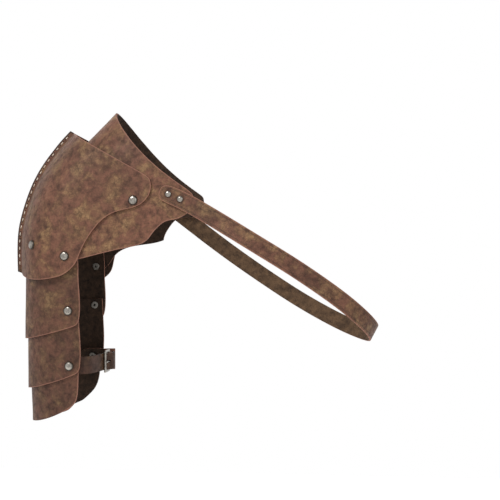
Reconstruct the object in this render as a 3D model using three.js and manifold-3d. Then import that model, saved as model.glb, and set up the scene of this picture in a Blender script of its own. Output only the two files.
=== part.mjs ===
// Leather pauldron for the right shoulder: a yoke over the shoulder, a stitched cap over it, three arm
// plates, a long chest strap and a buckled arm strap, all joined by domed rivets.
// Millimetres, +Z up, +X towards the wearer's neck, -Y towards the wearer's front.
// The origin is under the crest of the yoke, where the armour sits on the shoulder.
import * as THREE from 'three';
import { mergeVertices } from 'three/addons/utils/BufferGeometryUtils.js';
import Module from 'manifold-3d';

const wasm = await Module();
wasm.setup();

// Driving dimensions
const leather = 2.5;
const clearance = 0.7;
const seamGap = 0.3;
const frontDepth = 74.5;
const depthLoss = 10;
const fullestHeight = -150;
const depthSpan = 230;
const keelFullness = 3;
const flangeFace = leather + seamGap / 2;

const yoke = { left: -66, top: 18, wide: 196, tall: 194, round: 84, tuck: 0, layer: 1 };
const cap = {
  left: yoke.left - 0.25 * yoke.wide, top: -5, wide: 0.98 * yoke.wide, tall: 183,
  flange: 5.5, round: 85, tuck: 0, layer: 0,
};
const upperLame = { left: -102, top: -142, wide: 88, tall: 132, round: 74, tuck: 0.5, layer: 2 };
const middleLame = { left: -98.5, top: -226, wide: 84, tall: 112, round: 70, tuck: 0.5, layer: 3 };
const lowerLame = { left: -95.5, top: -293, wide: 79, tall: 87, round: 68, tuck: 0.9, layer: 4 };

const strapWide = 21.5;
const strapTipRound = 9;
const chestStrapReach = 346;
const chestStrapDrop = 270;
const chestStrapDepth = frontDepth * 1.5;
const chestStrapWidthAxis = { x: 0.46, z: 0.86 };

const armStrapHeight = -304;
const armStrapReach = 17;
const armStrapHalfSpan = 62;
const armStrapRoom = 0.8;
const armStrapEnd = -46;
const armStrapBend = -30;
const buckleWire = 3;
const buckleLong = 20;
const buckleHeelAt = 9;
const prongWire = 2.4;
const keeperAt = 25;
const keeperWide = 8;
const keeperLeather = 2;
const foldTipAt = 32;
const billetTipAt = 52;
const pinHole = 4;
const spareHoles = 4;
const spareHoleStep = 9;

const largeRivet = { head: 6.2, dome: 2.7, shank: 1.9, base: 5, baseThick: 1 };
const smallRivet = { head: 4.2, dome: 2, shank: 1.5, base: 3.6, baseThick: 0.8 };
const rivetSeat = 0.4;
const rivetSides = 10;
const rivetHoleRoom = 0.3;

// Colours as the photo shows them
const leatherBrown = { color: 0x6b4a38, roughness: 0.72, metalness: 0 };
const steelGrey = { color: 0x9a9894, roughness: 0.3, metalness: 1 };

// Each row is one line from the ridge to the front edge of a plate, as shares of the plate's
// width and height, counted from its left and its top. Bow curves that line, as a share of its length.
const capSections = [
  { ridgeAcross: 0.37, ridgeDown: 0, edgeAcross: 0.985, edgeDown: 0.36, bow: 0 },
  { ridgeAcross: 0.309, ridgeDown: 0.065, edgeAcross: 1, edgeDown: 0.43, bow: 0 },
  { ridgeAcross: 0.248, ridgeDown: 0.143, edgeAcross: 0.97, edgeDown: 0.505, bow: 0 },
  { ridgeAcross: 0.181, ridgeDown: 0.235, edgeAcross: 0.9, edgeDown: 0.56, bow: 0 },
  { ridgeAcross: 0.12, ridgeDown: 0.342, edgeAcross: 0.788, edgeDown: 0.583, bow: 0 },
  { ridgeAcross: 0.073, ridgeDown: 0.456, edgeAcross: 0.69, edgeDown: 0.633, bow: 0 },
  { ridgeAcross: 0.033, ridgeDown: 0.584, edgeAcross: 0.605, edgeDown: 0.735, bow: 0 },
  { ridgeAcross: 0.006, ridgeDown: 0.711, edgeAcross: 0.545, edgeDown: 0.845, bow: 0 },
  { ridgeAcross: 0, ridgeDown: 0.86, edgeAcross: 0.505, edgeDown: 0.945, bow: -0.04 },
  { ridgeAcross: 0.004, ridgeDown: 1, edgeAcross: 0.425, edgeDown: 1.015, bow: -0.09 },
];
const yokeSections = [
  { ridgeAcross: 0.429, ridgeDown: 0, edgeAcross: 0.974, edgeDown: 0.55, bow: -0.06 },
  { ridgeAcross: 0.407, ridgeDown: 0.022, edgeAcross: 1, edgeDown: 0.605, bow: -0.05 },
  { ridgeAcross: 0.383, ridgeDown: 0.046, edgeAcross: 0.974, edgeDown: 0.667, bow: -0.04 },
  { ridgeAcross: 0.33, ridgeDown: 0.1, edgeAcross: 0.896, edgeDown: 0.723, bow: -0.02 },
  { ridgeAcross: 0.278, ridgeDown: 0.153, edgeAcross: 0.808, edgeDown: 0.735, bow: 0 },
  { ridgeAcross: 0.224, ridgeDown: 0.206, edgeAcross: 0.732, edgeDown: 0.81, bow: 0 },
  { ridgeAcross: 0.165, ridgeDown: 0.273, edgeAcross: 0.674, edgeDown: 0.879, bow: 0 },
  { ridgeAcross: 0.099, ridgeDown: 0.354, edgeAcross: 0.486, edgeDown: 0.917, bow: 0 },
  { ridgeAcross: 0.033, ridgeDown: 0.448, edgeAcross: 0.276, edgeDown: 0.973, bow: 0 },
  { ridgeAcross: 0, ridgeDown: 0.536, edgeAcross: 0.14, edgeDown: 1, bow: 0 },
];
const upperLameSections = [
  { ridgeAcross: 0.01, ridgeDown: 0, edgeAcross: 0.96, edgeDown: 0.12, bow: 0 },
  { ridgeAcross: 0.01, ridgeDown: 0.23, edgeAcross: 0.98, edgeDown: 0.26, bow: 0 },
  { ridgeAcross: 0.01, ridgeDown: 0.43, edgeAcross: 0.98, edgeDown: 0.43, bow: 0 },
  { ridgeAcross: 0.005, ridgeDown: 0.66, edgeAcross: 1, edgeDown: 0.63, bow: 0 },
  { ridgeAcross: 0, ridgeDown: 0.9, edgeAcross: 0.99, edgeDown: 0.78, bow: 0 },
  { ridgeAcross: 0, ridgeDown: 1, edgeAcross: 0.945, edgeDown: 0.845, bow: -0.02 },
];
const middleLameSections = [
  { ridgeAcross: 0, ridgeDown: 0.02, edgeAcross: 0.96, edgeDown: 0, bow: 0 },
  { ridgeAcross: 0, ridgeDown: 0.25, edgeAcross: 0.98, edgeDown: 0.22, bow: 0 },
  { ridgeAcross: 0, ridgeDown: 0.6, edgeAcross: 1, edgeDown: 0.5, bow: 0 },
  { ridgeAcross: 0, ridgeDown: 0.88, edgeAcross: 0.985, edgeDown: 0.7, bow: 0 },
  { ridgeAcross: 0, ridgeDown: 0.96, edgeAcross: 0.97, edgeDown: 0.745, bow: 0 },
  { ridgeAcross: 0, ridgeDown: 1, edgeAcross: 0.92, edgeDown: 0.79, bow: -0.02 },
];
const lowerLameSections = [
  { ridgeAcross: 0, ridgeDown: 0.03, edgeAcross: 0.97, edgeDown: 0, bow: 0 },
  { ridgeAcross: 0.005, ridgeDown: 0.25, edgeAcross: 0.975, edgeDown: 0.2, bow: 0 },
  { ridgeAcross: 0.015, ridgeDown: 0.56, edgeAcross: 0.965, edgeDown: 0.45, bow: 0 },
  { ridgeAcross: 0.025, ridgeDown: 0.8, edgeAcross: 0.94, edgeDown: 0.6, bow: 0 },
  { ridgeAcross: 0.03, ridgeDown: 0.93, edgeAcross: 0.89, edgeDown: 0.69, bow: 0 },
  { ridgeAcross: 0.03, ridgeDown: 1, edgeAcross: 0.79, edgeDown: 0.755, bow: -0.05 },
];

// The back half hangs lower, its yoke is cut closer and its last arm plate is rounder, so the ends of
// its rows differ: [across, down]
const capBackEdges = [
  [0.935, 0.36], [0.94, 0.43], [0.91, 0.505], [0.865, 0.56], [0.77, 0.583],
  [0.69, 0.633], [0.615, 0.792], [0.578, 0.902], [0.552, 1.022], [0.443, 1.093],
];
const yokeBackEdges = [
  [0.94, 0.535], [0.958, 0.575], [0.93, 0.675], [0.84, 0.69], [0.752, 0.7],
  [0.678, 0.81], [0.64, 0.866], [0.357, 0.907], [0.276, 1.041], [0.143, 1.085],
];
const lowerLameBackEdges = [[0.97, 0], [0.975, 0.2], [0.955, 0.44], [0.905, 0.585], [0.81, 0.7], [0.67, 0.795]];
const withEdges = (rows, edges) => rows.map((row, i) => ({ ...row, edgeAcross: edges[i][0], edgeDown: edges[i][1] }));
const capBackSections = withEdges(capSections, capBackEdges);
const yokeBackSections = withEdges(yokeSections, yokeBackEdges);
const lowerLameBackSections = withEdges(lowerLameSections, lowerLameBackEdges);

// Height of the outer face of a plate in front of the middle plane, where the plate lies flat
function flatDepth(height, layer) {
  const away = (height - fullestHeight) / depthSpan;
  return frontDepth - depthLoss * away * away - layer * (leather + clearance);
}

// A plate turns over smoothly at its ridge, as a quarter ellipse, and past its rounding it stays flat
// or tucks in a little towards the arm
function rise(distance, plate) {
  const share = distance / plate.round;
  return share < 1 ? Math.sqrt(1 - (1 - share) ** 2) : 1 - plate.tuck * (share - 1) ** 2;
}

// Depth of the outer face in front of the middle plane. The halves of the cap are sewn together through
// a narrow flange in the middle plane, and open out behind it in a keel.
function outerDepth(distance, height, plate) {
  const flat = flatDepth(height, plate.layer);
  if (!plate.flange) return flat * rise(distance, plate);
  const share = THREE.MathUtils.clamp((distance - plate.flange) / (plate.round - plate.flange), 0, 1);
  return flangeFace + (flat - flangeFace) * (1 - (1 - share) ** keelFullness);
}

// Shares of a row at which its points lie, close together where it turns. Two points are on the flange.
function rowShares(columns, flangeShare) {
  const onFlange = flangeShare > 0 ? 2 : 0;
  const shares = [];
  for (let j = 0; j <= columns; j++) {
    const rest = Math.max(0, j - onFlange) / (columns - onFlange);
    shares.push(flangeShare * Math.min(1, j / 2) + (1 - flangeShare) * rest ** 1.7);
  }
  return shares;
}

function blendRow(rows, at) {
  const low = Math.min(Math.floor(at), rows.length - 2);
  const t = at - low;
  const pick = [low - 1, low, low + 1, low + 2].map((i) => rows[THREE.MathUtils.clamp(i, 0, rows.length - 1)]);
  const blended = {};
  for (const key of Object.keys(rows[0])) {
    const [a, b, c, d] = pick.map((row) => row[key]);
    const bend = (2 * a - 5 * b + 4 * c - d) * t * t + (3 * b - a - 3 * c + d) * t * t * t;
    blended[key] = b + 0.5 * ((c - a) * t + bend);
  }
  return blended;
}

function plateRow(plate, row, columns) {
  const ridge = new THREE.Vector2(plate.left + row.ridgeAcross * plate.wide, plate.top - row.ridgeDown * plate.tall);
  const edge = new THREE.Vector2(plate.left + row.edgeAcross * plate.wide, plate.top - row.edgeDown * plate.tall);
  const run = edge.clone().sub(ridge);
  const sideways = new THREE.Vector2(-run.y, run.x);
  const points = [];
  for (const share of rowShares(columns, (plate.flange ?? 0) / run.length())) {
    const flat = ridge.clone().addScaledVector(run, share);
    flat.addScaledVector(sideways, 4 * row.bow * share * (1 - share));
    points.push(new THREE.Vector3(flat.x, -outerDepth(share * run.length(), flat.y, plate), flat.y));
  }
  return points;
}

const mirrored = (point) => new THREE.Vector3(point.x, -point.y, point.z);

// Outer face of a plate as rows of points, from the front edge over the ridge to the back edge
function plateGrid(plate, sections, backSections, steps, columns) {
  const grid = [];
  for (let i = 0; i <= steps; i++) {
    const at = (i / steps) * (sections.length - 1);
    const front = plateRow(plate, blendRow(sections, at), columns);
    const back = plateRow(plate, blendRow(backSections, at), columns);
    grid.push([...front.slice(1).reverse(), front[0], ...back.slice(1).map(mirrored)]);
  }
  return grid;
}

const frontHalfGrid = (plate, sections, steps, columns) =>
  plateGrid(plate, sections, sections, steps, columns).map((row) => row.slice(0, columns + 1));

function signedVolume(points, faces) {
  return faces.reduce((sum, [a, b, c]) => sum + points[a].dot(points[b].clone().cross(points[c])) / 6, 0);
}

function solidGeometry(points, faces) {
  const turned = signedVolume(points, faces) < 0 ? faces.map(([a, b, c]) => [a, c, b]) : faces;
  const geometry = new THREE.BufferGeometry().setFromPoints(points);
  geometry.setIndex(turned.flat());
  return geometry;
}

// A wall of even thickness inside a grid of outer points
function wall(outer, thickness) {
  const rows = outer.length;
  const columns = outer[0].length;
  const inner = outer.map((row, i) => row.map((point, j) => {
    const down = outer[Math.min(i + 1, rows - 1)][j].clone().sub(outer[Math.max(i - 1, 0)][j]);
    const along = row[Math.min(j + 1, columns - 1)].clone().sub(row[Math.max(j - 1, 0)]);
    return point.clone().addScaledVector(along.cross(down).normalize(), -thickness);
  }));
  const count = rows * columns;
  const at = (i, j) => i * columns + j;
  const faces = [];
  for (let i = 0; i < rows - 1; i++) {
    for (let j = 0; j < columns - 1; j++) {
      const [a, b, c, d] = [at(i, j), at(i, j + 1), at(i + 1, j + 1), at(i + 1, j)];
      faces.push([a, b, c], [a, c, d], [a + count, c + count, b + count], [a + count, d + count, c + count]);
    }
  }
  const rim = [];
  for (let j = 0; j < columns - 1; j++) rim.push(at(0, j));
  for (let i = 0; i < rows - 1; i++) rim.push(at(i, columns - 1));
  for (let j = columns - 1; j > 0; j--) rim.push(at(rows - 1, j));
  for (let i = rows - 1; i > 0; i--) rim.push(at(i, 0));
  rim.forEach((a, k) => {
    const b = rim[(k + 1) % rim.length];
    faces.push([b, a, a + count], [b, a + count, b + count]);
  });
  return solidGeometry([...outer.flat(), ...inner.flat()], faces);
}

// A flat strap along a curve. widthAxis gives the direction of its width at a share of its length.
function strapGrid(curve, steps, width, widthAxis, roundStart, roundEnd) {
  const total = curve.getLength();
  const round = Math.min(strapTipRound, width / 2);
  const inset = (distance) => Math.sqrt(Math.max(0, round ** 2 - Math.max(0, round - distance) ** 2)) - round;
  const tip = [0.03, 0.25, 0.6].map((share) => share * round);
  const places = [];
  for (let i = 0; i <= steps; i++) places.push((i / steps) * total);
  const kept = places.filter((s) => (!roundStart || s > round) && (!roundEnd || s < total - round));
  const stations = [...(roundStart ? tip : []), ...kept, ...(roundEnd ? tip.map((s) => total - s).reverse() : [])];
  return stations.map((s) => {
    const share = s / total;
    const centre = curve.getPointAt(share);
    const tangent = curve.getTangentAt(share);
    const across = widthAxis(share).addScaledVector(tangent, -widthAxis(share).dot(tangent)).normalize();
    const trim = (roundStart ? inset(s) : 0) + (roundEnd ? inset(total - s) : 0);
    return [1, 0, -1].map((side) => centre.clone().addScaledVector(across, side * (width / 2 + trim)));
  });
}

// Booleans
function toSolid(geometry) {
  const bare = geometry.clone();
  bare.deleteAttribute('normal');
  bare.deleteAttribute('uv');
  const merged = mergeVertices(bare, 1e-4);
  const triVerts = new Uint32Array(merged.index.array);
  return new wasm.Manifold(new wasm.Mesh({ numProp: 3, vertProperties: merged.attributes.position.array, triVerts }));
}

function fromSolid(solid) {
  const mesh = solid.getMesh();
  const geometry = new THREE.BufferGeometry();
  geometry.setAttribute('position', new THREE.BufferAttribute(mesh.vertProperties, 3));
  geometry.setIndex(new THREE.BufferAttribute(mesh.triVerts, 1));
  return geometry;
}

const cutFrom = (geometry, cutter) => fromSolid(toSolid(geometry).subtract(toSolid(cutter)));
const joinTo = (geometry, other) => fromSolid(toSolid(geometry).add(toSolid(other)));

// A solid of revolution with its axis along a direction, its zero at a point
function placedLathe(profile, sides, point, direction) {
  const geometry = new THREE.LatheGeometry(profile.map(([r, h]) => new THREE.Vector2(r, h)), sides);
  const turn = new THREE.Quaternion().setFromUnitVectors(new THREE.Vector3(0, 1, 0), direction);
  return geometry.applyQuaternion(turn).translate(point.x, point.y, point.z);
}

const pieces = {};

function hitsAlong(names, from, direction) {
  const caster = new THREE.Raycaster(from, direction);
  const material = new THREE.MeshBasicMaterial({ side: THREE.DoubleSide });
  const targets = names.map((name) => new THREE.Mesh(pieces[name], material));
  return caster.intersectObjects(targets);
}

// A rivet through a stack of pieces, seen at (x, z) from the side that sign gives. The holes are cut too.
// Its head seats on the highest leather under it, and its base on the lowest.
function rivetThrough(name, stack, x, z, sign, size) {
  const castFrom = 200;
  const backOff = 20;
  const first = hitsAlong(stack, new THREE.Vector3(x, sign * castFrom, z), new THREE.Vector3(0, -sign, 0))[0];
  const axis = first.face.normal.clone().normalize();
  if (axis.y * sign < 0) axis.negate();
  const sideways = axis.clone().cross(new THREE.Vector3(0, 0, 1)).normalize();
  const from = first.point.clone().addScaledVector(axis, backOff);
  const ring = (radius) => [0, 1, 2, 3, 4, 5, 6, 7].flatMap((k) => {
    const offset = sideways.clone().applyAxisAngle(axis, k * Math.PI / 4).multiplyScalar(radius);
    return hitsAlong(stack, from.clone().add(offset), axis.clone().negate()).map((hit) => hit.distance - backOff);
  }).filter((depth) => depth < backOff);
  const grip = Math.max(...ring(0), ...ring(size.base));
  const top = rivetSeat - Math.min(...ring(0), ...ring(size.head));
  const holeRadius = size.shank + rivetHoleRoom;
  const holeEnd = size.dome;
  const hole = [[0, -grip - holeEnd], [holeRadius, -grip - holeEnd], [holeRadius, holeEnd], [0, holeEnd]];
  for (const piece of stack) {
    pieces[piece] = cutFrom(pieces[piece], placedLathe(hole, rivetSides, first.point, axis));
  }
  const low = -grip - rivetSeat;
  const profile = [
    [0, low - size.baseThick], [size.base, low - size.baseThick], [size.base, low], [size.shank, low],
    [size.shank, top], [size.head, top], [size.head * 0.97, top + size.dome * 0.35],
    [size.head * 0.65, top + size.dome * 0.85], [0, top + size.dome],
  ];
  pieces[name] = placedLathe(profile, rivetSides, first.point, axis);
}

// Plates
const capBackGrid = frontHalfGrid(cap, capBackSections, 17, 14).map((row) => row.map(mirrored).reverse());
pieces.cap_front = wall(frontHalfGrid(cap, capSections, 17, 14), leather);
pieces.cap_back = wall(capBackGrid, leather);
pieces.yoke = wall(plateGrid(yoke, yokeSections, yokeBackSections, 16, 11), leather);
pieces.upper_lame = wall(plateGrid(upperLame, upperLameSections, upperLameSections, 9, 11), leather);
pieces.middle_lame = wall(plateGrid(middleLame, middleLameSections, middleLameSections, 8, 11), leather);
pieces.lower_lame = wall(plateGrid(lowerLame, lowerLameSections, lowerLameBackSections, 9, 11), leather);

// A place on the side of a plate, as shares of its width and height
const placeOn = (plate, across, down) => ({ x: plate.left + across * plate.wide, z: plate.top - down * plate.tall });

// Chest strap: over the front of the yoke, down across the chest, round the far arm and back behind
const onYoke = (across, down, side, lift) => {
  const { x, z } = placeOn(yoke, across, down);
  return new THREE.Vector3(x, side * (flatDepth(z, yoke.layer) + leather + clearance + lift), z);
};
const free = (across, depth, drop) => new THREE.Vector3(
  across * chestStrapReach, depth * chestStrapDepth, -drop * chestStrapDrop);
const chestStrapCurve = new THREE.CatmullRomCurve3([
  onYoke(0.781, 0.546, -1, 0.2), onYoke(0.908, 0.598, -1, 0.2), onYoke(1.031, 0.665, -1, 1.2),
  free(0.578, -0.75, 0.552), free(0.757, -0.68, 0.696), free(0.913, -0.45, 0.844),
  free(1, -0.09, 0.956), free(1, 0.4, 1), free(0.89, 0.82, 0.959), free(0.723, 1, 0.848), free(0.52, 0.964, 0.676),
  onYoke(1.05, 0.877, 1, 14), onYoke(0.918, 0.771, 1, 4), onYoke(0.843, 0.71, 1, 0.8),
  onYoke(0.769, 0.653, 1, 0.2), onYoke(0.7, 0.598, 1, 0.2),
]);
const chestStrapWidth = (share) => {
  const lean = 0.17 * Math.sin(Math.PI * share);
  return new THREE.Vector3(chestStrapWidthAxis.x, lean, chestStrapWidthAxis.z);
};
pieces.chest_strap = wall(strapGrid(chestStrapCurve, 50, strapWide, chestStrapWidth, true, true), leather);

// Arm strap: a billet from the front of the arm plates and a short folded piece from their back.
// Distances called away are counted from the arm side of the strap, towards the body.
const armSide = (y) => armStrapReach * (1 - (y / armStrapHalfSpan) ** 2) - armStrapReach;
const insideLowerLame = flatDepth(armStrapHeight, lowerLame.layer) - leather - clearance - armStrapRoom;
const upright = () => new THREE.Vector3(0, 0, 1);
const level = (x, y) => new THREE.Vector3(x, y, armStrapHeight);
const beside = (away, y) => level(armSide(y) + away, y);
const foldRadius = buckleWire / 2 + clearance;
const barAway = leather + foldRadius;
const foldFlat = leather + clearance;
const billetOverBar = barAway + foldRadius + 2 * leather + clearance;
const billetOverFold = foldFlat + 2 * leather + clearance;
const railAt = buckleHeelAt - buckleLong;
const billetCurve = new THREE.CatmullRomCurve3([
  level(armStrapEnd, 3 - insideLowerLame), level(armStrapBend, -insideLowerLame), level(-17, 1 - insideLowerLame),
  beside(leather, -48), beside(leather, -30), beside(leather, railAt - 3), beside(leather + 1, railAt + 3),
  beside(leather + 3.3, railAt + 6), beside(leather + 6.5, railAt + 10), beside(billetOverBar - 1, buckleHeelAt - 6),
  beside(billetOverBar, buckleHeelAt), beside(billetOverFold + 2.4, buckleHeelAt + 7),
  beside(billetOverFold + 0.2, keeperAt - 2), beside(billetOverFold, keeperAt + 7),
  beside(billetOverFold, billetTipAt),
]);
pieces.arm_strap_billet = wall(strapGrid(billetCurve, 36, strapWide, upright, true, true), leather);

const bar = beside(barAway, buckleHeelAt);
const roundBar = (degrees) => {
  const angle = THREE.MathUtils.degToRad(degrees);
  return level(bar.x + foldRadius * Math.cos(angle), bar.y + foldRadius * Math.sin(angle));
};
const foldCurve = new THREE.CatmullRomCurve3([
  beside(foldFlat, foldTipAt), beside(foldFlat, keeperAt - 2), beside(foldFlat + 1.5, buckleHeelAt + 7),
  roundBar(20), roundBar(-30), roundBar(-90), roundBar(-150), roundBar(-200),
  beside(leather, buckleHeelAt + 6), beside(leather, keeperAt), beside(leather, 34), beside(leather, 48),
  level(-17, insideLowerLame - 1), level(armStrapBend, insideLowerLame), level(armStrapEnd, insideLowerLame - 3),
]);
pieces.arm_strap_fold = wall(strapGrid(foldCurve, 52, strapWide, upright, false, true), leather);

// Buckle: a wire frame, a prong that hooks round its heel bar, and a leather keeper
const wireSides = 8;
function rod(from, to, radius) {
  const axis = to.clone().sub(from);
  const length = axis.length();
  const profile = [[0, 0], [radius, 0], [radius, length], [0, length]];
  return placedLathe(profile, wireSides, from, axis.normalize());
}
const frameHalf = strapWide / 2 + clearance + buckleWire / 2;
const frameCorners = [[buckleHeelAt, -1], [buckleHeelAt, 1], [railAt, 1], [railAt, -1]].map(
  ([y, side]) => new THREE.Vector3(bar.x, y, armStrapHeight + side * frameHalf));
pieces.buckle_frame = frameCorners.map((corner, i) => {
  const knuckle = new THREE.SphereGeometry(buckleWire / 2, wireSides, 6).translate(corner.x, corner.y, corner.z);
  return joinTo(rod(corner, frameCorners[(i + 1) % frameCorners.length], buckleWire / 2), knuckle);
}).reduce(joinTo);

const prongLift = buckleWire / 2 + rivetSeat + prongWire / 2;
const prongHeel = level(bar.x + prongLift, buckleHeelAt);
const prongTip = level(bar.x + prongLift, railAt - prongWire);
const eyeInner = buckleWire / 2 + rivetSeat;
const eyeOuter = eyeInner + 1.4;
const eyeProfile = [[eyeInner, -1], [eyeOuter, -1], [eyeOuter, 1], [eyeInner, 1], [eyeInner, -1]].map(
  ([radius, side]) => [radius, side * prongWire / 2]);
const prongEye = placedLathe(eyeProfile, 12, bar, upright());
pieces.buckle_prong = joinTo(prongEye, rod(prongHeel, prongTip, prongWire / 2));
const slotSize = eyeOuter * 2 + 2 * clearance + 3;
const prongSlot = new THREE.BoxGeometry(slotSize, slotSize, prongWire + 2 * clearance);
pieces.arm_strap_fold = cutFrom(pieces.arm_strap_fold, prongSlot.translate(bar.x, bar.y - 1, bar.z));
const holeForProng = rod(prongHeel, prongTip, pinHole / 2);
pieces.arm_strap_billet = cutFrom(pieces.arm_strap_billet, holeForProng);
for (let k = 1; k <= spareHoles; k++) {
  const at = beside(0, buckleHeelAt + 2 + k * spareHoleStep);
  const [inside, outside] = [billetOverFold - leather - 1, billetOverBar + 2];
  const hole = rod(at.clone().setX(at.x + inside), at.clone().setX(at.x + outside), pinHole / 2);
  if (Math.abs(at.y - keeperAt) > keeperWide) pieces.arm_strap_billet = cutFrom(pieces.arm_strap_billet, hole);
}

const keeperRoom = new THREE.Vector2(billetOverFold + 2 * clearance, strapWide + 2 * clearance);
const keeperShape = new THREE.Shape();
const keeperHole = new THREE.Path();
const rectangle = (path, halfX, halfY) => {
  path.moveTo(-halfX, -halfY).lineTo(halfX, -halfY).lineTo(halfX, halfY).lineTo(-halfX, halfY).closePath();
};
rectangle(keeperShape, keeperRoom.x / 2 + keeperLeather, keeperRoom.y / 2 + keeperLeather);
rectangle(keeperHole, keeperRoom.x / 2, keeperRoom.y / 2);
keeperShape.holes.push(keeperHole);
const keeperTurn = Math.atan2(armSide(keeperAt + 1) - armSide(keeperAt - 1), 2);
const keeperMiddle = beside(billetOverFold / 2, keeperAt);
pieces.strap_keeper = new THREE.ExtrudeGeometry(keeperShape, { depth: keeperWide, bevelEnabled: false })
  .translate(0, 0, -keeperWide / 2).rotateX(Math.PI / 2).rotateZ(-keeperTurn)
  .translate(keeperMiddle.x, keeperMiddle.y, keeperMiddle.z);

// Rivets
const capTip = { front: placeOn(cap, 0.883, 0.515), back: placeOn(cap, 0.835, 0.515) };
const capHem = { front: placeOn(cap, 0.438, 0.887), back: placeOn(cap, 0.456, 0.97) };
const capSide = placeOn(cap, 0.203, 0.8115);
const upperLameEnd = placeOn(upperLame, 0.835, 0.7045);
const lowerLameEnd = placeOn(lowerLame, 0.842, 0);
for (const [end, sign] of [['front', -1], ['back', 1]]) {
  const capHalf = `cap_${end}`;
  const strapPart = sign < 0 ? 'arm_strap_billet' : 'arm_strap_fold';
  for (const [name, stack, x, z] of [
    ['cap_tip', [capHalf, 'yoke'], capTip[end].x, capTip[end].z],
    ['cap_hem', [capHalf, 'yoke', 'upper_lame'], capHem[end].x, capHem[end].z],
    ['cap_side', [capHalf, 'upper_lame'], capSide.x, capSide.z],
    ['upper_lame', ['upper_lame', 'middle_lame'], upperLameEnd.x, upperLameEnd.z],
    ['lower_lame', ['middle_lame', 'lower_lame', strapPart], lowerLameEnd.x, armStrapHeight],
  ]) rivetThrough(`rivet_${name}_${end}`, stack, x, z, sign, largeRivet);
}
for (const [name, across, down, sign] of [
  ['front_1', 0.837, 0.567, -1], ['front_2', 0.912, 0.599, -1],
  ['back_1', 0.722, 0.616, 1], ['back_2', 0.7755, 0.658, 1],
]) {
  const { x, z } = placeOn(yoke, across, down);
  rivetThrough(`rivet_chest_strap_${name}`, ['chest_strap', 'yoke'], x, z, sign, smallRivet);
}

// The crest of the yoke runs up towards the neck at this slope, and the origin is on its underside
const crestDrop = yoke.tall * yokeSections.at(-1).ridgeDown;
const crestSlope = Math.atan2(crestDrop, yoke.wide * yokeSections[0].ridgeAcross);
const model = new THREE.Group();
model.position.set(-leather * Math.sin(crestSlope), 0, leather * Math.cos(crestSlope));
for (const [name, geometry] of Object.entries(pieces)) {
  const finish = name.startsWith('rivet') || name.startsWith('buckle') ? steelGrey : leatherBrown;
  const mesh = new THREE.Mesh(geometry, new THREE.MeshStandardMaterial(finish));
  mesh.name = name;
  model.add(mesh);
}
export default model;
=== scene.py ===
"""Looks of a leather pauldron for the right shoulder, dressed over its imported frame. Metres, +Z up."""
import math

import bmesh
import bpy
from mathutils import Matrix, Vector
from mathutils.bvhtree import BVHTree


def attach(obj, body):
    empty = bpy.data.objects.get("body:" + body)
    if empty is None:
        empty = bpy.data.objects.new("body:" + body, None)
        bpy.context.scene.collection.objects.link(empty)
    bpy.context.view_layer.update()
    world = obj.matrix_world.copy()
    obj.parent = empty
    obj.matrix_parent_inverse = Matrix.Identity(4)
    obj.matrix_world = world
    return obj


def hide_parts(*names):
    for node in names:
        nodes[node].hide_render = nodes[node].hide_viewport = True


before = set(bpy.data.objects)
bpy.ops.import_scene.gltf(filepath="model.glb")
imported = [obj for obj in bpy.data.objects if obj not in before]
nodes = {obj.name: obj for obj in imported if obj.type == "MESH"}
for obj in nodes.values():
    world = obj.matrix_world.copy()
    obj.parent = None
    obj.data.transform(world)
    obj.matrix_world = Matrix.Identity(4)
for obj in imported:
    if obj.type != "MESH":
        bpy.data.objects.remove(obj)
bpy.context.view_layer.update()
MM = 0.001

# Camera: level with the middle of the photograph, which holds the worn pair. One of the pair is built,
# so it stands left of the middle. A pixel is 1.3 mm at the guard's middle plane, and the wearer is
# turned a little, which shows the inside of the back half.
MM_PER_PIXEL = 1.3
PICTURE_PIXELS = 500
CAMERA_AWAY = 1250 * MM
WEARER_TURN = math.radians(5.5)
PICTURE_MIDDLE = Vector((187.9, 0, -158.3)) * MM

rightward = Vector((math.cos(WEARER_TURN), math.sin(WEARER_TURN), 0))
onward = Vector((-math.sin(WEARER_TURN), math.cos(WEARER_TURN), 0))
camera_data = bpy.data.cameras.new("camera")
camera_data.angle = 2 * math.atan(PICTURE_PIXELS * MM_PER_PIXEL * MM / 2 / CAMERA_AWAY)
camera_data.clip_end = 30
camera = bpy.data.objects.new("camera", camera_data)
bpy.context.scene.collection.objects.link(camera)
camera.location = rightward * PICTURE_MIDDLE.x + Vector((0, 0, PICTURE_MIDDLE.z)) - onward * CAMERA_AWAY
camera.rotation_euler = (math.pi / 2, 0, WEARER_TURN)
bpy.context.scene.camera = camera


# Plates: the yoke, the two halves of the cap and the three arm plates, cut flat and moulded wet. Each
# follows its solid, with softened edges and a bare cut edge, and the yoke and the arm plates are a
# little wavy.


def linear(hex_colour):
    """An sRGB hex colour as linear red, green, blue and alpha."""
    shares = [int(hex_colour[i:i + 2], 16) / 255 for i in (1, 3, 5)]
    return tuple(c / 12.92 if c <= 0.04045 else ((c + 0.055) / 1.055) ** 2.4 for c in shares) + (1.0,)


def add(tree, kind, inputs=None, **settings):
    """Add a node with its settings, and fill its sockets with values or with other nodes' sockets."""
    made = tree.nodes.new(kind)
    for key, value in settings.items():
        setattr(made, key, value)
    for key, value in (inputs or {}).items():
        if isinstance(value, bpy.types.NodeSocket):
            tree.links.new(value, made.inputs[key])
        else:
            made.inputs[key].default_value = value
    return made


def new_material(name):
    """An empty node material with its shader, and the position that its patterns read."""
    material = bpy.data.materials.new(name)
    material.use_nodes = True
    tree = material.node_tree
    shader = tree.nodes["Principled BSDF"]
    place = add(tree, "ShaderNodeTexCoord").outputs["Object"]
    return material, tree, shader, place


def per_metre(millimetres):
    """How often a pattern of this size repeats in a metre, which is what a texture's scale asks for."""
    return 1 / (millimetres * MM)


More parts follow.
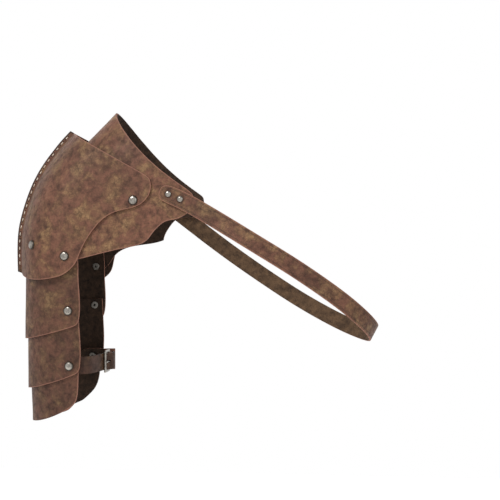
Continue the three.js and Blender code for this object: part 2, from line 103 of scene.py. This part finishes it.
# Leather: waxed cowhide of about 2.5 mm with a distressed grain side. The wax is pulled about by
# bending and rubbing, so golden tan shows through red-brown in patches, with dark flecks and fine
# cracks. The cut edges are bare and redder, and the flesh side is a very dark suede.
PATCH_MM = 22
SHADE_MM = 9
FLECK_MM = 2.4
CRACK_MM = 7
SWATHE_MM = 75
PORE_MM = 1.5  # drawn coarser than real pores, so that they show
GRAIN_DARK = "#3a231a"
GRAIN_BROWN = "#694735"
GRAIN_RED = "#724b3a"
GRAIN_TAN = "#7d5b40"
GRAIN_PALE = "#8d6d4c"
FLECK_DARK = "#33211a"
WORN_RIM = "#8a5f4f"
PAINTED_SEAM = "#241a15"
RIM_WEAR = 1.1 * MM
CREASE_FROM_RIM = 3 * MM
CREASE_WIDE = 0.9 * MM
SEAM_BAND = 1.5 * MM
LEATHER_GLOSS = 0.22


def grain_side(name, tan, tone, creased=False, seamed=False):
    """Distressed grain-side leather. A higher tan shows more of the tan, and a lower tone is darker.
    creased presses a line along the rim, and seamed paints the sewn edge of the cap dark."""
    material, tree, shader, place = new_material(name)
    patch = add(tree, "ShaderNodeTexNoise", {"Vector": place, "Scale": per_metre(PATCH_MM), "Detail": 5,
                                             "Roughness": 0.64, "Distortion": 0.4}).outputs["Fac"]
    shade = add(tree, "ShaderNodeTexNoise", {"Vector": place, "Scale": per_metre(SHADE_MM), "Detail": 6,
                                             "Roughness": 0.66, "Distortion": 0.2}).outputs["Fac"]
    fleck = add(tree, "ShaderNodeTexNoise", {"Vector": place, "Scale": per_metre(FLECK_MM), "Detail": 4,
                                             "Roughness": 0.65}).outputs["Fac"]
    swathe = add(tree, "ShaderNodeTexNoise", {"Vector": place, "Scale": per_metre(SWATHE_MM),
                                              "Detail": 2}).outputs["Fac"]
    moved = add(tree, "ShaderNodeVectorMath", {0: place, 1: (PATCH_MM * MM,) * 3}, operation="ADD")
    crack = add(tree, "ShaderNodeTexVoronoi", {"Vector": moved.outputs[0], "Scale": per_metre(CRACK_MM),
                                               "Detail": 2, "Roughness": 0.8}, feature="DISTANCE_TO_EDGE")
    pore = add(tree, "ShaderNodeTexVoronoi", {"Vector": place, "Scale": per_metre(PORE_MM)})

    tones = add(tree, "ShaderNodeValToRGB", {"Fac": patch})
    ramp = tones.color_ramp
    ramp.elements[0].position = 0.34
    ramp.elements[0].color = linear(GRAIN_BROWN)
    ramp.elements[1].position = 0.66 - tan
    ramp.elements[1].color = linear(GRAIN_PALE)
    for position, colour in ((0.42, GRAIN_RED), (0.49 - tan / 2, GRAIN_BROWN), (0.58 - tan, GRAIN_TAN)):
        ramp.elements.new(position).color = linear(colour)
    colour = tones.outputs["Color"]
    for value, start, full, most, tint in ((shade, 0.45, 0.68, 0.84, GRAIN_DARK),
                                           (shade, 0.42, 0.26, 0.6, GRAIN_PALE),
                                           (fleck, 0.52, 0.72, 0.45, FLECK_DARK)):
        share = add(tree, "ShaderNodeMapRange", {"Value": value, "From Min": start, "From Max": full,
                                                 "To Min": 0, "To Max": most}).outputs["Result"]
        colour = add(tree, "ShaderNodeMix", {0: share, 6: colour, 7: linear(tint)},
                     data_type="RGBA").outputs[2]
    crack_line = add(tree, "ShaderNodeMapRange", {"Value": crack.outputs["Distance"], "From Min": 0,
                                                  "From Max": 0.06, "To Min": 1, "To Max": 0})
    crack_where = add(tree, "ShaderNodeMapRange", {"Value": patch, "From Min": 0.42, "From Max": 0.58,
                                                   "To Min": 0, "To Max": 0.45})
    share = add(tree, "ShaderNodeMath", {0: crack_line.outputs["Result"], 1: crack_where.outputs["Result"]},
                operation="MULTIPLY").outputs[0]
    colour = add(tree, "ShaderNodeMix", {0: share, 6: colour, 7: linear(FLECK_DARK)},
                 data_type="RGBA").outputs[2]
    tone_here = add(tree, "ShaderNodeMapRange", {"Value": swathe, "From Min": 0.35, "From Max": 0.65,
                                                 "To Min": tone * 0.86,
                                                 "To Max": tone * 1.06}).outputs["Result"]
    colour = add(tree, "ShaderNodeVectorMath", {0: colour, "Scale": tone_here}, operation="SCALE").outputs[0]

    from_rim = add(tree, "ShaderNodeAttribute", attribute_name="rim_distance").outputs["Fac"]
    ragged = add(tree, "ShaderNodeMath", {0: fleck, 1: RIM_WEAR, 2: from_rim},
                 operation="MULTIPLY_ADD").outputs[0]
    share = add(tree, "ShaderNodeMapRange", {"Value": ragged, "From Min": RIM_WEAR * 0.8,
                                             "From Max": RIM_WEAR * 1.6, "To Min": 0.6,
                                             "To Max": 0}).outputs["Result"]
    colour = add(tree, "ShaderNodeMix", {0: share, 6: colour, 7: linear(WORN_RIM)},
                 data_type="RGBA").outputs[2]
    height = shade
    if creased:
        off_crease = add(tree, "ShaderNodeMath", {0: from_rim, 1: CREASE_FROM_RIM}, operation="SUBTRACT")
        off_crease = add(tree, "ShaderNodeMath", {0: off_crease.outputs[0]}, operation="ABSOLUTE").outputs[0]
        crease = add(tree, "ShaderNodeMapRange", {"Value": off_crease, "From Min": 0, "From Max": CREASE_WIDE,
                                                  "To Min": 1, "To Max": 0}).outputs["Result"]
        crease_share = add(tree, "ShaderNodeMath", {0: crease, 1: 0.5}, operation="MULTIPLY").outputs[0]
        colour = add(tree, "ShaderNodeMix", {0: crease_share, 6: colour, 7: linear(FLECK_DARK)},
                     data_type="RGBA").outputs[2]
        height = add(tree, "ShaderNodeMath", {0: crease, 1: -1, 2: shade},
                     operation="MULTIPLY_ADD").outputs[0]
    if seamed:
        from_seam = add(tree, "ShaderNodeAttribute", attribute_name="seam_distance").outputs["Fac"]
        painted = add(tree, "ShaderNodeMapRange", {"Value": from_seam, "From Min": SEAM_BAND * 0.6,
                                                   "From Max": SEAM_BAND * 1.4, "To Min": 0.9,
                                                   "To Max": 0}).outputs["Result"]
        colour = add(tree, "ShaderNodeMix", {0: painted, 6: colour, 7: linear(PAINTED_SEAM)},
                     data_type="RGBA").outputs[2]

    roughness = add(tree, "ShaderNodeMapRange", {"Value": shade, "From Min": 0.3, "From Max": 0.7,
                                                 "To Min": 0.48, "To Max": 0.7}).outputs["Result"]
    coarse = add(tree, "ShaderNodeBump", {"Height": height, "Distance": 0.5 * MM,
                                          "Strength": 0.45}).outputs[0]
    fine = add(tree, "ShaderNodeBump", {"Height": fleck, "Distance": 0.3 * MM, "Strength": 0.45,
                                        "Normal": coarse}).outputs[0]
    pored = add(tree, "ShaderNodeBump", {"Height": pore.outputs["Distance"], "Distance": 0.12 * MM,
                                         "Strength": 0.35, "Normal": fine}).outputs[0]
    tree.links.new(colour, shader.inputs["Base Color"])
    tree.links.new(roughness, shader.inputs["Roughness"])
    tree.links.new(pored, shader.inputs["Normal"])
    shader.inputs["IOR"].default_value = 1.5
    shader.inputs["Specular IOR Level"].default_value = LEATHER_GLOSS
    return material


def fibre_side(name, light, dark, fibre_mm, height_mm):
    """Bare leather fibre, as on a cut edge or on the flesh side: two tones, matt and slightly rough."""
    material, tree, shader, place = new_material(name)
    fibre = add(tree, "ShaderNodeTexNoise", {"Vector": place, "Scale": per_metre(fibre_mm), "Detail": 6,
                                             "Roughness": 0.7}).outputs["Fac"]
    share = add(tree, "ShaderNodeMapRange", {"Value": fibre, "From Min": 0.35,
                                             "From Max": 0.65}).outputs["Result"]
    colour = add(tree, "ShaderNodeMix", {0: share, 6: linear(dark), 7: linear(light)},
                 data_type="RGBA").outputs[2]
    bump = add(tree, "ShaderNodeBump", {"Height": fibre, "Distance": height_mm * MM,
                                        "Strength": 0.5}).outputs[0]
    tree.links.new(colour, shader.inputs["Base Color"])
    tree.links.new(bump, shader.inputs["Normal"])
    shader.inputs["Roughness"].default_value = 0.85
    shader.inputs["IOR"].default_value = 1.45
    shader.inputs["Specular IOR Level"].default_value = 0.25
    return material


yoke_leather = grain_side("distressed_cowhide", 0.02, 0.87)
cap_leather = grain_side("distressed_cowhide_with_painted_seam", 0, 0.79, seamed=True)
# The arm plates use a darker tone as painted shade: they face more to the side, away from the light above.
lame_leather_with_painted_shade = grain_side("distressed_cowhide_darkened_as_painted_shade", 0, 0.57)
cut_edge = fibre_side("cut_leather_edge", "#8b6050", "#5e3f32", 3, 0.15)
painted_edge = fibre_side("painted_leather_edge", "#32251f", "#1b130f", 3, 0.1)
flesh_side = fibre_side("flesh_side_suede", "#3a2a1f", "#1c130d", 7, 0.3)

SHARP_EDGE = math.radians(50)
EDGE_SOFTENING = 0.55 * MM
SMOOTHING_LEVELS = 2
WAVE_SIZE = 45 * MM
WAVE_HEIGHT = 0.7 * MM
SAME_POINT = 0.02 * MM
# Two triangles become a quad where it is about this flat and this square.
FLAT_ENOUGH = math.radians(30)
SQUARE_ENOUGH = math.radians(60)
# How far from the middle plane the flange of the cap's seam reaches, and the points where its halves
# meet. A face of the flange that leans less than this to the side is on its rim.
SEWN_EDGE_DEPTH = 2.9 * MM
SEAM_REACH = 0.2 * MM
FACES_SIDEWAYS = 0.7
GRAIN, EDGE, FLESH, PAINTED = 0, 1, 2, 3


def copy_of_node(node, name):
    """A copy of a CAD node with its own mesh, joined at its corners and turned to quads where it can be."""
    bpy.ops.object.select_all(action="DESELECT")
    piece = nodes[node].copy()
    piece.data = nodes[node].data.copy()
    for key in list(piece.keys()):
        del piece[key]
    piece.name = name
    piece.data.name = name
    piece.parent = None
    piece.data.materials.clear()
    bpy.context.scene.collection.objects.link(piece)
    piece.select_set(True)
    bpy.context.view_layer.objects.active = piece
    bpy.ops.object.mode_set(mode="EDIT")
    bpy.ops.mesh.select_all(action="SELECT")
    bpy.ops.mesh.customdata_custom_splitnormals_clear()
    bpy.ops.mesh.remove_doubles(threshold=SAME_POINT)
    bpy.ops.mesh.tris_convert_to_quads(face_threshold=FLAT_ENOUGH, shape_threshold=SQUARE_ENOUGH)
    bpy.ops.object.mode_set(mode="OBJECT")
    return piece


def face_patches(mesh):
    """The faces in patches that sharp edges part, the largest patch first."""
    waiting = set(mesh.faces)
    patches = []
    while waiting:
        patch = [waiting.pop()]
        for face in patch:
            for edge in face.edges:
                if len(edge.link_faces) == 2 and edge.calc_face_angle() < SHARP_EDGE:
                    fresh = [f for f in edge.link_faces if f in waiting]
                    waiting.difference_update(fresh)
                    patch.extend(fresh)
        patches.append(patch)
    return sorted(patches, key=lambda patch: -sum(face.calc_area() for face in patch))


def mark_sides(piece, outward, seamed):
    """Give the grain side, the flesh side and the cut edges their materials. outward(place) points out.
    On the flange of a seamed piece, the rim is painted and the two faces are grain and flesh."""
    mesh = bmesh.new()
    mesh.from_mesh(piece.data)
    mesh.normal_update()
    for rank, patch in enumerate(face_patches(mesh)):
        lean = sum(face.normal.dot(outward(face.calc_center_median())) * face.calc_area() for face in patch)
        for face in patch:
            face.material_index = EDGE if rank > 1 else GRAIN if lean > 0 else FLESH
    for face in mesh.faces:
        if seamed and all(abs(v.co.y) < SEWN_EDGE_DEPTH for v in face.verts):
            outer = abs(face.calc_center_median().y) > SEWN_EDGE_DEPTH / 2
            on_rim = abs(face.normal.y) < FACES_SIDEWAYS
            face.material_index = PAINTED if on_rim else GRAIN if outer else FLESH
    mesh.to_mesh(piece.data)
    mesh.free()


def finish_with(piece, bevel, wave=0):
    """Soften the sharp edges, smooth the faces and, where asked, add a little waviness."""
    softened = piece.modifiers.new("softened_edges", "BEVEL")
    softened.width = bevel
    softened.segments = 2
    softened.limit_method = "ANGLE"
    softened.angle_limit = SHARP_EDGE
    softened.use_clamp_overlap = True
    smooth = piece.modifiers.new("smooth_faces", "SUBSURF")
    smooth.levels = smooth.render_levels = SMOOTHING_LEVELS
    if wave:
        clouds = bpy.data.textures.get("moulding_waves") or bpy.data.textures.new("moulding_waves", "CLOUDS")
        clouds.noise_scale = WAVE_SIZE
        waves = piece.modifiers.new("waves", "DISPLACE")
        waves.texture = clouds
        waves.texture_coords = "LOCAL"
        waves.strength = wave
    for modifier in list(piece.modifiers):
        bpy.ops.object.modifier_apply(modifier=modifier.name)
    bpy.ops.object.shade_smooth()


def measure_from(piece, name, side):
    """Keep each point's distance from the nearest face of this side, for wear that follows an edge."""
    mesh = piece.data
    edge_faces = [tuple(face.vertices) for face in mesh.polygons if face.material_index == side]
    rim = BVHTree.FromPolygons([v.co for v in mesh.vertices], edge_faces)
    distances = mesh.attributes.new(name, "FLOAT", "POINT")
    for vertex, distance in zip(mesh.vertices, distances.data):
        distance.value = rim.find_nearest(vertex.co)[3]


def dress_leather(node, grain, flesh, outward, wave=0, seamed=False):
    """A leather piece that stands for a CAD node of the same shape. The solids of the cap's two halves
    keep a small gap, and here the stitches draw it shut."""
    piece = copy_of_node(node, node + "_leather")
    for material in (grain, cut_edge, flesh, painted_edge):
        piece.data.materials.append(material)
    if seamed:
        for vertex in piece.data.vertices:
            if abs(vertex.co.y) < SEAM_REACH:
                vertex.co.y = 0
    mark_sides(piece, outward, seamed)
    finish_with(piece, EDGE_SOFTENING, wave)
    measure_from(piece, "rim_distance", EDGE)
    if seamed:
        measure_from(piece, "seam_distance", PAINTED)
    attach(piece, "root")
    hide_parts(node)
    return piece


SHOULDER_MIDDLE = Vector((-0.01, 0, -0.15))
ARM_MIDDLE_X = -0.025


def from_shoulder(place):
    """The way from the middle of the shoulder to a place on the cap or the yoke."""
    return place - SHOULDER_MIDDLE


def from_arm(place):
    """The level way from the middle of the arm to a place round it."""
    return Vector((place.x - ARM_MIDDLE_X, place.y, 0))


cap_front = dress_leather("cap_front", cap_leather, flesh_side, from_shoulder, seamed=True)
cap_back = dress_leather("cap_back", cap_leather, flesh_side, from_shoulder, seamed=True)
dress_leather("yoke", yoke_leather, flesh_side, from_shoulder, WAVE_HEIGHT)
for lame in ("upper_lame", "middle_lame", "lower_lame"):
    dress_leather(lame, lame_leather_with_painted_shade, flesh_side, from_arm, WAVE_HEIGHT)


# Straps: the long chest strap, and the billet, fold and keeper of the arm strap. They are strips of the
# same hide with a line creased along each rim. The arm strap is darker as painted shade, for the shade
# it hangs in, and wear has rubbed the chest strap's flesh side paler.
strap_leather = grain_side("distressed_strap_leather", 0.02, 0.78, creased=True)
# The arm strap's low tone is painted shade.
arm_strap_leather_with_painted_shade = grain_side("strap_leather_darkened_as_painted_shade", 0, 0.36, creased=True)
rubbed_flesh_side = fibre_side("rubbed_flesh_side_suede", "#584330", "#33251a", 9, 0.3)

STRAP_MIDDLE = Vector((0.2, 0.02, -0.19))
dress_leather("chest_strap", strap_leather, rubbed_flesh_side, lambda place: place - STRAP_MIDDLE)
for strap in ("arm_strap_billet", "arm_strap_fold", "strap_keeper"):
    dress_leather(strap, arm_strap_leather_with_painted_shade, flesh_side, from_arm)


# Rivets and buckle: pressed steel, nickel plated and antiqued. The dark finish stays in the low places.
# On each rivet, the darkening from the dome's bright top towards its rim is partly that finish and partly
# painted shade of the dome's curving sides.
TARNISH_MM = 3.5
PLATING = "#a39e96"
TARNISH = "#302a25"
# Between these depths below a dome's top it darkens, partly tarnish and partly painted shade.
BRIGHT_TOP = 0.1 * MM
DARK_RIM = 1.15 * MM
# A rivet's head reaches this far down from its top. Below is its base, rubbed to a duller finish.
HEAD_HEIGHT = 3.4 * MM
POST_END = 1.7 * MM
POST_END_FLATNESS = 0.2
METAL_SOFTENING = 0.25 * MM
SAME_LEVEL = 0.25 * MM
SAME_DIRECTION = 0.999


def antique_nickel(name, bright, worn, domed):
    """Aged nickel plate. bright and worn are the roughness of its clean and its tarnished places. A domed
    one darkens towards its rim, partly tarnish and partly painted shade."""
    material, tree, shader, place = new_material(name)
    cloud = add(tree, "ShaderNodeTexNoise", {"Vector": place, "Scale": per_metre(TARNISH_MM), "Detail": 5,
                                             "Roughness": 0.65}).outputs["Fac"]
    share = add(tree, "ShaderNodeMapRange", {"Value": cloud, "From Min": 0.45, "From Max": 0.7,
                                             "To Min": 0.05, "To Max": 0.75}).outputs["Result"]
    if domed:
        # Painted shade, with some tarnish: the dome darkens from its top towards its rim.
        below = add(tree, "ShaderNodeAttribute", attribute_name="below_top").outputs["Fac"]
        rim = add(tree, "ShaderNodeMapRange", {"Value": below, "From Min": BRIGHT_TOP, "From Max": DARK_RIM,
                                               "To Min": 0, "To Max": 0.95}, interpolation_type="SMOOTHSTEP")
        share = add(tree, "ShaderNodeMath", {0: share, 1: rim.outputs["Result"]},
                    operation="MAXIMUM").outputs[0]
    colour = add(tree, "ShaderNodeMix", {0: share, 6: linear(PLATING), 7: linear(TARNISH)},
                 data_type="RGBA").outputs[2]
    roughness = add(tree, "ShaderNodeMapRange", {"Value": share, "To Min": bright,
                                                 "To Max": worn}).outputs["Result"]
    bump = add(tree, "ShaderNodeBump", {"Height": cloud, "Distance": 0.1 * MM, "Strength": 0.4}).outputs[0]
    tree.links.new(colour, shader.inputs["Base Color"])
    tree.links.new(roughness, shader.inputs["Roughness"])
    tree.links.new(bump, shader.inputs["Normal"])
    shader.inputs["Metallic"].default_value = 1
    return material


def way_out_of(piece):
    """The direction of a rivet's dome. The flat undersides of its head and its base face the other way,
    and have more area together than anything else that faces one way."""
    mesh = piece.data
    totals = [(sum(other.area for other in mesh.polygons if other.normal.dot(face.normal) > SAME_DIRECTION),
               face.index) for face in mesh.polygons]
    return -mesh.polygons[max(totals)[1]].normal


def ball(segments, rings, radius):
    """A small ball at the origin, the only object selected."""
    bpy.ops.object.select_all(action="DESELECT")
    bpy.ops.mesh.primitive_uv_sphere_add(segments=segments, ring_count=rings, radius=radius)
    return bpy.context.object


def repeated(first, frames, name, material):
    """Copies of a small piece, each with its own mesh, joined in one object at the origin."""
    copies = []
    for frame_of_copy in frames:
        copy = first.copy()
        copy.data = first.data.copy()
        copy.data.transform(frame_of_copy)
        bpy.context.scene.collection.objects.link(copy)
        copies.append(copy)
    bpy.data.objects.remove(first)
    bpy.ops.object.select_all(action="DESELECT")
    for copy in copies:
        copy.select_set(True)
    bpy.context.view_layer.objects.active = copies[0]
    bpy.ops.object.join()
    joined = bpy.context.object
    joined.name = name
    joined.data.materials.append(material)
    bpy.ops.object.shade_smooth()
    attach(joined, "root")


rivet_metal = antique_nickel("antique_nickel_rivet", 0.17, 0.45, True)
base_metal = antique_nickel("rubbed_nickel_base", 0.5, 0.6, False)
buckle_metal = antique_nickel("antique_nickel_buckle", 0.2, 0.42, False)
base_middles = []

for node in sorted(nodes):
    if node.startswith(("rivet_", "buckle_")):
        piece = copy_of_node(node, node + "_metal")
        on_buckle = node.startswith("buckle_")
        outward = way_out_of(piece)
        piece.data.materials.append(buckle_metal if on_buckle else rivet_metal)
        finish_with(piece, METAL_SOFTENING)
        if not on_buckle:
            points = [vertex.co.copy() for vertex in piece.data.vertices]
            top = max(points, key=lambda place: place.dot(outward))
            base = min(points, key=lambda place: place.dot(outward))
            below_top = piece.data.attributes.new("below_top", "FLOAT", "POINT")
            for place, below in zip(points, below_top.data):
                below.value = (top - place).dot(outward)
            piece.data.materials.append(base_metal)
            for face in piece.data.polygons:
                face.material_index = (top - face.center).dot(outward) > HEAD_HEIGHT
            lowest = [place for place in points if (place - base).dot(outward) < SAME_LEVEL]
            base_middle = outward.to_track_quat("-Z", "Y").to_matrix().to_4x4()
            base_middle.translation = sum(lowest, Vector()) / len(lowest)
            base_middles.append(base_middle)
        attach(piece, "root")
        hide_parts(node)

# A dark spot in the middle of each rivet's base, at the rolled end of its post, is painted shade for the
# hollow there.
post_end_shade = fibre_side("post_end_painted_shade", "#26211d", "#14110f", 1, 0.05)
post_end = ball(16, 6, POST_END)
post_end.data.transform(Matrix.Diagonal((1, 1, POST_END_FLATNESS, 1)))
repeated(post_end, base_middles, "rivet_post_ends", post_end_shade)


# Seam stitches: the halves of the cap are saddle-stitched with waxed linen thread through the narrow
# flange on its keel, so a row runs along each side. Each stitch goes down an awl hole at its two ends.
STITCH_PITCH = 9.6 * MM
STITCH_LONG = 4.6 * MM
STITCH_WIDE = 1.3 * MM
STITCH_THICK = 1.6 * MM
STITCH_FROM_EDGE = 3.2 * MM
FLANGE_FACE = 2.65 * MM
HOLLOW_MIDDLE = Vector((0, 0, -160)) * MM
AWL_HOLE = 1.5 * MM
AWL_HOLE_FLATNESS = 0.25
HOLE_FROM_STITCH = 0.5 * MM
TWIST_MM = 1.5
NEAR_ON_KEEL = 8 * MM
SEAM_MARGIN = 5 * MM


def waxed_thread():
    """Waxed linen: cream, with a twist that shows as fine darker flecks."""
    material, tree, shader, place = new_material("waxed_linen_thread")
    twist = add(tree, "ShaderNodeTexNoise", {"Vector": place, "Scale": per_metre(TWIST_MM),
                                             "Detail": 3}).outputs["Fac"]
    share = add(tree, "ShaderNodeMapRange", {"Value": twist, "From Min": 0.35,
                                             "From Max": 0.65}).outputs["Result"]
    colour = add(tree, "ShaderNodeMix", {0: share, 6: linear("#9c8a76"), 7: linear("#e8dfcf")},
                 data_type="RGBA").outputs[2]
    tree.links.new(colour, shader.inputs["Base Color"])
    shader.inputs["Roughness"].default_value = 0.6
    return material


# The keel, from the top down: the points in the seam that stand as far out as any near them.
seam_points = [v.co.copy() for v in nodes["cap_front"].data.vertices if v.co.y > -SEAM_REACH]
keel = []
for place in sorted(seam_points, key=lambda point: -point.z):
    outward = (place - HOLLOW_MIDDLE).normalized()
    near = [other for other in seam_points + keel if (other - place).length < NEAR_ON_KEEL]
    if all((other - place).dot(outward) < MM for other in near) and place not in keel:
        keel.append(place)


def along_keel(distance):
    """The point of the keel at a distance from its top."""
    for start, end in zip(keel, keel[1:]):
        step = (end - start).length
        if distance <= step:
            return start.lerp(end, distance / step)
        distance -= step
    return keel[-1].copy()


def on_flange(distance, side):
    """A frame on one face of the flange: X along the keel, Z out of the leather."""
    tangent = (along_keel(distance + MM) - along_keel(distance - MM)).normalized()
    inward = tangent.cross(Vector((0, 1, 0)))
    if inward.dot(HOLLOW_MIDDLE - along_keel(distance)) < 0:
        inward.negate()
    start = along_keel(distance) + inward * STITCH_FROM_EDGE
    place, normal, _, _ = halves[side].find_nearest(Vector((start.x, side * 2 * FLANGE_FACE, start.z)))
    tangent = (tangent - normal * tangent.dot(normal)).normalized()
    turned = Matrix((tangent, normal.cross(tangent), normal)).transposed().to_4x4()
    turned.translation = place
    return turned


halves = {-1: BVHTree.FromObject(cap_front, bpy.context.evaluated_depsgraph_get()),
          1: BVHTree.FromObject(cap_back, bpy.context.evaluated_depsgraph_get())}
keel_length = sum((end - start).length for start, end in zip(keel, keel[1:]))
stitch_count = int((keel_length - 2 * SEAM_MARGIN) / STITCH_PITCH)
middles = [SEAM_MARGIN + (k + 0.5) * STITCH_PITCH for k in range(stitch_count)]


def on_both_faces(distances):
    """Frames on both faces of the flange, at distances along the keel."""
    return [on_flange(distance, side) for distance in distances for side in (-1, 1)]


stitch = ball(8, 6, 1)
stitch.data.transform(Matrix.Rotation(math.pi / 2, 4, "Y"))
stitch.data.transform(Matrix.Diagonal((STITCH_LONG / 2, STITCH_WIDE / 2, STITCH_THICK / 2, 1)))
repeated(stitch, on_both_faces(middles), "seam_stitches", waxed_thread())

hole_shadow = fibre_side("awl_hole_shadow", "#1c1410", "#0c0806", 1, 0.1)
awl_hole = ball(8, 4, AWL_HOLE / 2)
awl_hole.data.transform(Matrix.Diagonal((1, 1, AWL_HOLE_FLATNESS, 1)))
hole_places = [middle + end * (STITCH_LONG / 2 + HOLE_FROM_STITCH) for middle in middles for end in (-1, 1)]
repeated(awl_hole, on_both_faces(hole_places), "awl_holes", hole_shadow)


# Stage: the guard hangs as it is worn, well above a plain pale floor that is lit a little from below,
# as a studio cove is, with soft light from panels and a white room.
FLOOR_HEIGHT = -0.75
FLOOR_SIZE = 2.6
FLOOR_GLOW = 0.3
bpy.ops.mesh.primitive_plane_add(size=FLOOR_SIZE, location=(0, 0, FLOOR_HEIGHT))
floor = bpy.context.object
floor.name = "floor"
floor_material, _, floor_shader, _ = new_material("pale_floor")
floor_shader.inputs["Base Color"].default_value = linear("#f4f3f1")
floor_shader.inputs["Roughness"].default_value = 0.9
floor_shader.inputs["Emission Color"].default_value = (1, 1, 1, 1)
floor_shader.inputs["Emission Strength"].default_value = FLOOR_GLOW
floor.data.materials.append(floor_material)

# The room is white at eye level and greyer overhead and below, which gives the domes and the leather
# something darker to reflect.
world = bpy.data.worlds.new("studio_room")
bpy.context.scene.world = world
world.use_nodes = True
room = world.node_tree
towards = add(room, "ShaderNodeTexCoord").outputs["Generated"]
up_share = add(room, "ShaderNodeSeparateXYZ", {0: towards}).outputs["Z"]
off_level = add(room, "ShaderNodeMath", {0: up_share}, operation="ABSOLUTE").outputs[0]
brightness = add(room, "ShaderNodeMapRange", {"Value": off_level, "From Min": 0.3, "From Max": 0.6,
                                              "To Min": 1.0, "To Max": 0.58}).outputs["Result"]
room.links.new(brightness, room.nodes["Background"].inputs["Strength"])
room.nodes["Background"].inputs["Color"].default_value = (1, 1, 1, 1)
bpy.context.scene.view_settings.view_transform = "Standard"

LIGHTS = (
    {"name": "key_panel", "place": (-0.7, -1.5, 1.3), "size": 0.55, "watts": 36},
    {"name": "fill_panel", "place": (1.4, -1.4, 0.5), "size": 1.2, "watts": 7},
    {"name": "back_panel", "place": (-0.4, 1.4, 1.0), "size": 1.2, "watts": 7},
)
GUARD_MIDDLE = Vector((0, 0, -0.16))
for panel in LIGHTS:
    light_data = bpy.data.lights.new(panel["name"], "AREA")
    light_data.energy = panel["watts"]
    light_data.size = panel["size"]
    light = bpy.data.objects.new(panel["name"], light_data)
    light.location = panel["place"]
    light.rotation_euler = (GUARD_MIDDLE - light.location).to_track_quat("-Z", "Y").to_euler()
    bpy.context.scene.collection.objects.link(light)
